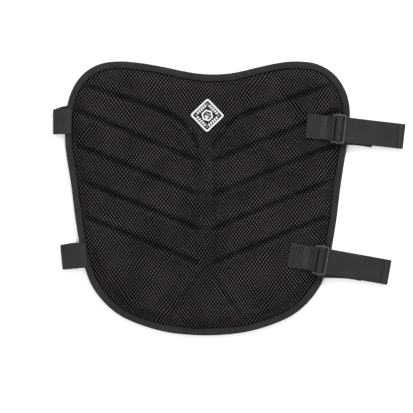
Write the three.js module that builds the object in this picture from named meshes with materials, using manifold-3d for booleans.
// A quilted, ventilated body pad with two elastic straps, each strap threaded through a three-bar slider.
// Millimetres. The pad lies face up: +X to its right, +Y to its neck dip, +Z out of its quilted face.
// Sizes are given from the centre of the pad's flat back, which is the face that meets the wearer. The finished
// part is then moved as a whole, so that its origin is the middle of its footprint on the surface it lies on.
import * as THREE from "three";
import { mergeVertices } from "three/addons/utils/BufferGeometryUtils.js";
import Module from "manifold-3d";

const wasm = await Module();
wasm.setup();

// ---- Driving dimensions ----

// Right half of the pad's outline, from the neck dip round to the lowest point.
const HALF_OUTLINE = [
  [0, 148], [25, 150], [60, 157.5], [85, 162], [106, 163.5], [128, 160.8],
  [146, 151.5], [158, 138], [165.5, 122], [169, 104], [169, 85], [167.5, 62],
  [160.5, 15], [154, -35], [145, -80], [136, -104], [121, -124], [103, -139],
  [75, -151.5], [45, -159.5], [15, -162.7], [0, -163],
];
const OUTLINE_STEPS = 96;

// The soft pad lies a little out of true: below its neck it leans left, and its neck dip sits right of centre.
const LEAN = 3;
const NECK_SHIFT = 6;
const NECK_REACH = 90;

const GAP = 0.3; // between two pieces that touch
const STRAP_THICKNESS = 1.5;
const STRAP_WIDTH = 30;
const TAPE_THICKNESS = 0.7;
const TAPE_WIDTH = 8; // the flange of binding tape seen from either side
const BACK_THICKNESS = 1;
const FACE_THICKNESS = 1.2;
const FOAM_THICKNESS = 4;
const FACE_LOFT = 0.8; // from the foam to the underside of the springy face fabric

// Heights of the layers, counted up and down from the pad's back.
const BINDING_LOW = -GAP - TAPE_THICKNESS;
const STRAP_LOW = BINDING_LOW - GAP - STRAP_THICKNESS;
const LOW_RUN = STRAP_LOW + STRAP_THICKNESS / 2; // middle of the elastic where it lies behind the pad
const FOAM_LOW = BACK_THICKNESS + GAP;
const EDGE_TOP = FOAM_LOW + FACE_THICKNESS; // top of the face fabric where the binding grips it
const BINDING_HIGH = EDGE_TOP + GAP + TAPE_THICKNESS;
const FACE_TOP = FOAM_LOW + FOAM_THICKNESS + FACE_LOFT + FACE_THICKNESS;
const FOAM_INSET = 24; // from the outline to the foam

// Sewn channels. Each rib channel rises from the spine to the side edge.
const CHANNEL_HALF_WIDTH = 3.6;
const QUILT_X = -0.6; // the quilting's mirror line, which isn't quite the outline's
const SPINE_HALF_WIDTH = 10.7;
const SPINE_TOP = 60;
const SPINE_BOTTOM = -76;
const RIB_PITCH = 40.5;
const RIB_SLOPE = 0.41;
const LOWEST_RIB_AT_SPINE = -76.2;
const WEDGE = [[0, -87.5], [12.5, -97], [43, -146], [54, -166]]; // right side of the wedge
const THROAT = [[12, 66], [30, 92], [41, 111], [46, 135], [47, 170]]; // right side of the throat panel

const BADGE_SIDE = 29;
const BADGE_AT = [-1.5, 98.7];
const BADGE_TURN = THREE.MathUtils.degToRad(45 - 1.2);
const BADGE_BASE_THICKNESS = 1;
const BADGE_RIM_THICKNESS = 0.6;
const BADGE_RIM_WIDTH = 2.2;

// Slider, in its own plane: s runs from its hinge bar to its outer bar.
const HINGE_HEIGHT = 11.1;
const SLIDER_THICKNESS = 2.4;
const HINGE_BAR_RADIUS = 1.2;
const MIDDLE_BAR = [6.2, 8.2];
const OUTER_BAR = [13.2, 15.6];
const SLIDER_HALF_WIDTH = 16.9;
const RAIL_WIDTH = 1.6;
const NUB_REACH = 1.4;
const TAIL_HINGE_S = 40;
const FOLD_LEG = 11;

// Each strap: where its slider hinges, how far it slopes, and where its loops end. Angles in degrees.
const STRAPS = {
  upper: {
    hinge: [147.2, 83.3], slope: -6.3, returnSlope: -8.7, foldS: 50.3, tailEndS: 86.5,
    loopAt: [-163, 91.5], loopSlope: 0, loopReach: 21.8, padEdgeS: 21.5,
  },
  lower: {
    hinge: [126, -72.1], slope: -10.2, returnSlope: -11.2, foldS: 60.5, tailEndS: 91.1,
    loopAt: [-145.3, -67.1], loopSlope: 5.5, loopReach: 29.7, padEdgeS: 21.5,
  },
};

// ---- Colours ----

function fabric(color, roughness = 0.95) {
  return new THREE.MeshStandardMaterial({ color, roughness, metalness: 0 });
}
const FACE_FABRIC = fabric(0x242223);
const BACK_FABRIC = fabric(0x1c1b1c);
const FOAM = fabric(0x3a3a3c);
const BINDING = fabric(0x2c2a2b, 0.85);
const WEBBING = fabric(0x2f2c2d, 0.8);
const GROSGRAIN = fabric(0x2a2829, 0.85);
const PLASTIC = fabric(0x1a191a, 0.45);
const BADGE_DARK = fabric(0x202022, 0.6);
const BADGE_PALE = fabric(0xe4e4e2, 0.6);

// ---- Solids ----

const part = new THREE.Group();

function addMesh(name, geometry, material, parent = part) {
  const mesh = new THREE.Mesh(geometry, material);
  mesh.name = name;
  parent.add(mesh);
  return mesh;
}

function toManifold(geometry) {
  const bare = geometry.clone();
  bare.deleteAttribute("normal");
  bare.deleteAttribute("uv");
  const merged = mergeVertices(bare, 1e-4);
  return new wasm.Manifold(
    new wasm.Mesh({
      numProp: 3,
      vertProperties: new Float32Array(merged.attributes.position.array),
      triVerts: new Uint32Array(merged.index.array),
    }),
  );
}

function toGeometry(solid) {
  const mesh = solid.getMesh();
  const geometry = new THREE.BufferGeometry();
  geometry.setAttribute("position", new THREE.BufferAttribute(mesh.vertProperties, 3));
  geometry.setIndex(new THREE.BufferAttribute(mesh.triVerts, 1));
  return geometry;
}

function prism(points, low, high, holes = []) {
  const shape = new THREE.Shape(points.map(([x, y]) => new THREE.Vector2(x, y)));
  for (const hole of holes) shape.holes.push(new THREE.Path(hole.map(([x, y]) => new THREE.Vector2(x, y))));
  return new THREE.ExtrudeGeometry(shape, { depth: high - low, bevelEnabled: false }).translate(0, 0, low);
}

function roundedBox(left, right, halfHeight, radius, steps = 3) {
  const corners = [[right, -1, -90], [right, 1, 0], [left, 1, 90], [left, -1, 180]];
  return corners.flatMap(([x, side, start]) =>
    Array.from({ length: steps + 1 }, (_, i) => {
      const angle = THREE.MathUtils.degToRad(start + (90 * i) / steps);
      const centreX = x === right ? right - radius : left + radius;
      return [centreX + radius * Math.cos(angle), side * (halfHeight - radius) + radius * Math.sin(angle)];
    }),
  );
}

// A band of even thickness along a path of [s, z] points, as wide as the strap across.
function band(path, thickness = STRAP_THICKNESS, width = STRAP_WIDTH, smooth = 0) {
  let line = path.map(([s, z]) => new THREE.Vector2(s, z));
  if (smooth) line = new THREE.SplineCurve(line).getPoints(smooth);
  const side = (sign) =>
    line.map((point, i) => {
      const before = line[Math.max(i - 1, 0)];
      const after = line[Math.min(i + 1, line.length - 1)];
      const along = after.clone().sub(before).normalize();
      return [point.x - (sign * along.y * thickness) / 2, point.y + (sign * along.x * thickness) / 2];
    });
  return acrossStrap([...side(-1), ...side(1).reverse()], width);
}

// Stands a drawn side view up, so that its second coordinate is height and it is width across.
function acrossStrap(sideView, width, holes = []) {
  return prism(sideView, -width / 2, width / 2, holes).rotateX(Math.PI / 2);
}

// ---- Pad outline and its offsets ----

// Where a point of the true, mirror-symmetrical pad comes to lie.
function laid([x, y]) {
  const lean = LEAN * THREE.MathUtils.smoothstep(-y, -120, -60);
  const neck = THREE.MathUtils.smoothstep(y, 110, 150) * Math.max(0, 1 - (x / NECK_REACH) ** 2);
  return [x - lean + NECK_SHIFT * neck, y];
}

function padOutline() {
  const left = HALF_OUTLINE.slice(1, -1).reverse().map(([x, y]) => [-x, y]);
  const points = [...HALF_OUTLINE, ...left].map(laid).map(([x, y]) => new THREE.Vector3(x, y, 0));
  const curve = new THREE.CatmullRomCurve3(points, true, "centripetal");
  return curve.getSpacedPoints(OUTLINE_STEPS).slice(0, -1).reverse();
}
const OUTLINE = padOutline();

function insetOutline(inset) {
  const count = OUTLINE.length;
  return OUTLINE.map((point, i) => {
    const along = OUTLINE[(i + 1) % count].clone().sub(OUTLINE[(i + count - 1) % count]).normalize();
    return [point.x - along.y * inset, point.y + along.x * inset];
  });
}

// Rings of the outline at each [inset, height], joined in order. An open profile is capped at both ends.
function outlineSolid(profile, closed) {
  const rings = profile.map(([inset, height]) => insetOutline(inset).map(([x, y]) => [x, y, height]));
  const count = OUTLINE.length;
  const faces = [];
  const links = closed ? rings.length : rings.length - 1;
  for (let k = 0; k < links; k++) {
    const low = k * count;
    const high = ((k + 1) % rings.length) * count;
    for (let i = 0; i < count; i++) {
      const next = (i + 1) % count;
      faces.push(low + i, low + next, high + next, low + i, high + next, high + i);
    }
  }
  if (!closed) {
    const last = (rings.length - 1) * count;
    const cap = (ring) =>
      THREE.ShapeUtils.triangulateShape(ring.map(([x, y]) => new THREE.Vector2(x, y)), []);
    for (const [a, b, c] of cap(rings[0])) faces.push(a, c, b);
    for (const [a, b, c] of cap(rings.at(-1))) faces.push(last + a, last + b, last + c);
  }
  const geometry = new THREE.BufferGeometry();
  geometry.setAttribute("position", new THREE.Float32BufferAttribute(rings.flat(2), 3));
  geometry.setIndex(faces);
  return geometry;
}

// ---- Pad ----

function addPanels() {
  const slope = [[TAPE_WIDTH + 0.2, 0], [14, 1.6], [20, 4], [FOAM_INSET, FACE_TOP - EDGE_TOP]];
  const faceOuter = slope.map(([inset, rise]) => [inset, EDGE_TOP + rise]);
  const faceInner = faceOuter.map(([inset, height]) => [inset, height - FACE_THICKNESS]).reverse();
  const edge = TAPE_THICKNESS + 2 * GAP;
  const face = [...faceInner, [edge, FOAM_LOW], [edge, EDGE_TOP], ...faceOuter];
  addMesh("top_mesh_panel", outlineSolid(face, false), FACE_FABRIC);

  const back = [[edge, 0], [edge, BACK_THICKNESS]];
  addMesh("back_panel", outlineSolid(back, false), BACK_FABRIC);
}

function addBinding() {
  const wall = TAPE_THICKNESS + 0.1;
  const profile = [
    [TAPE_WIDTH, BINDING_LOW], [0.7, BINDING_LOW], [0, BINDING_LOW + 0.8],
    [0, BINDING_HIGH - 0.8], [0.7, BINDING_HIGH], [TAPE_WIDTH, BINDING_HIGH],
    [TAPE_WIDTH, BINDING_HIGH - TAPE_THICKNESS], [wall, BINDING_HIGH - TAPE_THICKNESS],
    [wall, BINDING_LOW + TAPE_THICKNESS], [TAPE_WIDTH, BINDING_LOW + TAPE_THICKNESS],
  ];
  addMesh("edge_binding", outlineSolid(profile, true), BINDING);
}

// Channel n, counted down from the one that curves into the top of the spine, as height over distance.
function channelHeight(n, x) {
  if (n === 1) return 86.5 + 0.33 * x - 30 * Math.exp((10 - x) / 12);
  return LOWEST_RIB_AT_SPINE + (5 - n) * RIB_PITCH + RIB_SLOPE * (x - SPINE_HALF_WIDTH);
}

// Right-hand outlines of the foam cells: the ribs, counted down from the shoulder.
function ribCell(n) {
  const far = 180;
  const inner = SPINE_HALF_WIDTH + CHANNEL_HALF_WIDTH;
  const run = (count, from) => Array.from({ length: count + 1 }, (_, i) => from + ((far - from) * i) / count);
  const below = (channel, from) =>
    run(6, from).map((x) => [x, channelHeight(channel, x) - CHANNEL_HALF_WIDTH * 1.1]);
  const above = (channel, from) =>
    run(6, from).map((x) => [x, channelHeight(channel, x) + CHANNEL_HALF_WIDTH * 1.1]).reverse();
  if (n === 1) {
    const throat = THROAT.slice(2).map(([x, y]) => [x + CHANNEL_HALF_WIDTH + 2, y]);
    return [...throat, [far, 175], ...above(1, 50)];
  }
  if (n < 6) return [...below(n - 1, inner), ...above(n, inner)];
  const wedge = WEDGE.slice(1).reverse().map(([x, y]) => [x + CHANNEL_HALF_WIDTH + 1, y]);
  return [...below(5, inner), [far, -175], ...wedge];
}

function addFoam() {
  const outline = insetOutline(FOAM_INSET);
  const high = FOAM_LOW + FOAM_THICKNESS;
  const slab = toManifold(prism(outline, FOAM_LOW, high));
  const addCell = (name, points) => {
    const placed = points.map(([x, y]) => laid([x + QUILT_X, y]));
    const cutter = toManifold(prism(placed, FOAM_LOW - 1, high + 1));
    addMesh(name, toGeometry(slab.intersect(cutter)), FOAM);
  };
  for (let n = 1; n <= 6; n++) {
    const right = ribCell(n).reverse();
    addCell(`foam_rib_right_${n}`, right);
    addCell(`foam_rib_left_${n}`, right.map(([x, y]) => [-x, y]).reverse());
  }
  const spine = SPINE_HALF_WIDTH - CHANNEL_HALF_WIDTH;
  addCell("foam_spine", [[-spine, SPINE_BOTTOM], [spine, SPINE_BOTTOM], [spine, SPINE_TOP], [-spine, SPINE_TOP]]);
  const throat = THROAT.map(([x, y]) => [x - CHANNEL_HALF_WIDTH, y]);
  addCell("foam_throat", [...throat, ...throat.map(([x, y]) => [-x, y]).reverse()]);
  const wedge = WEDGE.slice(1).map(([x, y]) => [x - CHANNEL_HALF_WIDTH - 1, y]);
  const [, apexY] = WEDGE[0];
  addCell("foam_wedge", [...wedge.map(([x, y]) => [-x, y]), ...wedge.reverse(), [0, apexY - 6]]);
}

function addBadge() {
  const half = BADGE_SIDE / 2;
  const low = FACE_TOP + GAP;
  const rimLow = low + BADGE_BASE_THICKNESS + GAP;
  const badge = new THREE.Group();
  badge.position.set(BADGE_AT[0], BADGE_AT[1], 0);
  badge.rotation.z = BADGE_TURN;
  part.add(badge);
  const outer = roundedBox(-half, half, half, 2.5);
  const hole = roundedBox(-half + BADGE_RIM_WIDTH, half - BADGE_RIM_WIDTH, half - BADGE_RIM_WIDTH, 1).reverse();
  addMesh("badge_base", prism(outer, low, low + BADGE_BASE_THICKNESS), BADGE_DARK, badge);
  addMesh("badge_rim", prism(outer, rimLow, rimLow + BADGE_RIM_THICKNESS, [hole]), BADGE_PALE, badge);
}

// ---- Straps ----

// The sewn tab: two layers on the pad that wrap the slider's hinge bar.
function tabSolid() {
  const outer = 2.4;
  const bore = 1.55;
  const low = FACE_TOP + GAP - HINGE_HEIGHT;
  const arc = Array.from({ length: 9 }, (_, i) => {
    const angle = THREE.MathUtils.degToRad(-100 + (200 * i) / 8);
    return [outer * Math.cos(angle), outer * Math.sin(angle)];
  });
  const hole = Array.from({ length: 10 }, (_, i) => {
    const angle = (-2 * Math.PI * i) / 10;
    return [bore * Math.cos(angle), bore * Math.sin(angle)];
  });
  return acrossStrap([[-31.5, low], [-7, low], ...arc, [-7, low + 2], [-31.5, low + 2]], 29, [hole]);
}

function sliderSolid() {
  const half = SLIDER_THICKNESS / 2;
  const outline = roundedBox(0, OUTER_BAR[1], SLIDER_HALF_WIDTH, 2);
  const inner = SLIDER_HALF_WIDTH - RAIL_WIDTH;
  let solid = toManifold(prism(outline, -half, half));
  const openings = [[-3, MIDDLE_BAR[0]], [MIDDLE_BAR[1], OUTER_BAR[0]]];
  for (const [from, to] of openings) {
    const window = new THREE.BoxGeometry(to - from, 2 * inner, 4).translate((from + to) / 2, 0, 0);
    solid = solid.subtract(toManifold(window));
  }
  const bar = new THREE.CylinderGeometry(HINGE_BAR_RADIUS, HINGE_BAR_RADIUS, 2 * SLIDER_HALF_WIDTH, 12);
  solid = solid.add(toManifold(bar));
  const middle = (MIDDLE_BAR[0] + MIDDLE_BAR[1]) / 2;
  for (const side of [-1, 1]) {
    const nub = new THREE.CylinderGeometry(1.5, 1.5, SLIDER_THICKNESS, 12).rotateX(Math.PI / 2);
    nub.translate(middle, side * (SLIDER_HALF_WIDTH + NUB_REACH - 1.5), 0);
    solid = solid.add(toManifold(nub));
  }
  return toGeometry(solid);
}

// The elastic over the pad's left edge: sewn on top, folded outside and led back underneath.
function addLoop(name, strap) {
  const group = new THREE.Group();
  group.position.set(strap.loopAt[0], strap.loopAt[1], 0);
  group.rotation.z = Math.PI + THREE.MathUtils.degToRad(strap.loopSlope);
  part.add(group);
  const top = BINDING_HIGH + GAP + STRAP_THICKNESS / 2;
  const end = strap.loopReach;
  const path = [
    [0, top], [5, top], [end - 12.3, top - 0.1], [end - 6.8, top - 0.6], [end - 2.3, top - 1.9],
    [end, LOW_RUN + 2.8], [end - 0.5, LOW_RUN + 1], [end - 3.3, LOW_RUN], [end - 9.8, LOW_RUN],
    [0, LOW_RUN], [-12.5, LOW_RUN],
  ];
  addMesh(`${name}_strap_loop`, band(path, STRAP_THICKNESS, STRAP_WIDTH, 22), WEBBING, group);
}

// The middle run of elastic behind the pad, which draws away from it.
function addBackRun(name, strap) {
  const left = new THREE.Vector2(-12.5, 0).rotateAround(
    new THREE.Vector2(), Math.PI + THREE.MathUtils.degToRad(strap.loopSlope),
  ).add(new THREE.Vector2(...strap.loopAt));
  const right = new THREE.Vector2(2.8, 0).rotateAround(
    new THREE.Vector2(), THREE.MathUtils.degToRad(strap.returnSlope),
  ).add(new THREE.Vector2(...strap.hinge));
  const run = right.clone().sub(left);
  const length = run.length() - 7;
  const geometry = new THREE.BoxGeometry(length, STRAP_WIDTH, STRAP_THICKNESS, 1, 1, 1);
  const mesh = addMesh(`${name}_strap_back`, geometry, WEBBING);
  mesh.position.set((left.x + right.x) / 2, (left.y + right.y) / 2, LOW_RUN);
  mesh.rotation.z = run.angle();
}

// The elastic past the pad's right edge: out underneath, round the fold and back up to the slider.
function addFoldedEnd(name, strap) {
  const group = new THREE.Group();
  group.position.set(strap.hinge[0], strap.hinge[1], 0);
  group.rotation.z = THREE.MathUtils.degToRad(strap.returnSlope);
  part.add(group);
  const low = LOW_RUN;
  const upperLeg = low + STRAP_THICKNESS + 0.5;
  const legEnd = strap.foldS - FOLD_LEG;
  addMesh(`${name}_strap_exit`, band([[2.8, low], [legEnd - GAP, low]]), WEBBING, group);

  const bend = strap.foldS - STRAP_THICKNESS / 2;
  const foldPath = [
    [legEnd, low], [bend - 3, low], [bend - 0.9, low + 0.2], [bend, (low + upperLeg) / 2],
    [bend - 0.9, upperLeg - 0.2], [bend - 3, upperLeg], [legEnd, upperLeg],
  ];
  addMesh(`${name}_strap_fold`, band(foldPath, STRAP_THICKNESS, STRAP_WIDTH, 18), WEBBING, group);

  const down = strap.padEdgeS + 3;
  const returnPath = [
    [3.7, HINGE_HEIGHT - 2.9], [4.1, HINGE_HEIGHT - 3.8], [6, HINGE_HEIGHT - 4.5],
    [12, HINGE_HEIGHT - 4.7], [down - 4, HINGE_HEIGHT - 4.9], [down + 2, HINGE_HEIGHT - 6.6],
    [legEnd - 7, upperLeg + 1.4], [legEnd - 3, upperLeg + 0.1], [legEnd - GAP, upperLeg],
  ];
  addMesh(`${name}_strap_return`, band(returnPath, STRAP_THICKNESS - 0.1, STRAP_WIDTH, 22), WEBBING, group);
}

// The slider on its tab, the elastic threaded over its middle bar, and the free tail.
function addSliderEnd(name, strap) {
  const group = new THREE.Group();
  group.position.set(strap.hinge[0], strap.hinge[1], HINGE_HEIGHT);
  group.rotation.z = THREE.MathUtils.degToRad(strap.slope);
  part.add(group);
  addMesh(`${name}_tab`, tabSolid(), GROSGRAIN, group);
  addMesh(`${name}_slider`, sliderSolid(), PLASTIC, group);

  const threaded = [
    [3.7, -2.5], [3.7, 0], [4.9, 1.8], [7.2, 2.3], [9.5, 1.8], [10.7, 0], [11.2, -1.5], [12.8, -2.2],
  ];
  addMesh(`${name}_strap_threaded`, band(threaded, STRAP_THICKNESS - 0.1, STRAP_WIDTH, 14), WEBBING, group);

  const root = [[13.2, -2.3], [18, -2.3], [22, -2.6], [30, -4], [TAIL_HINGE_S - GAP, -5.6]];
  addMesh(`${name}_strap_tail_root`, band(root, STRAP_THICKNESS, STRAP_WIDTH, 8), WEBBING, group);

  const end = strap.tailEndS;
  const tail = [[TAIL_HINGE_S, -5.65], [58, -8.2], [76, -9.9], [end, -10.4]];
  addMesh(`${name}_strap_tail`, band(tail, STRAP_THICKNESS, STRAP_WIDTH, 8), WEBBING, group);
}

addPanels();
addBinding();
addFoam();
addBadge();
for (const [name, strap] of Object.entries(STRAPS)) {
  addLoop(name, strap);
  addBackRun(name, strap);
  addFoldedEnd(name, strap);
  addSliderEnd(name, strap);
}

const box = new THREE.Box3().setFromObject(part);
part.position.set(-(box.min.x + box.max.x) / 2, -(box.min.y + box.max.y) / 2, -box.min.z);

export default part;
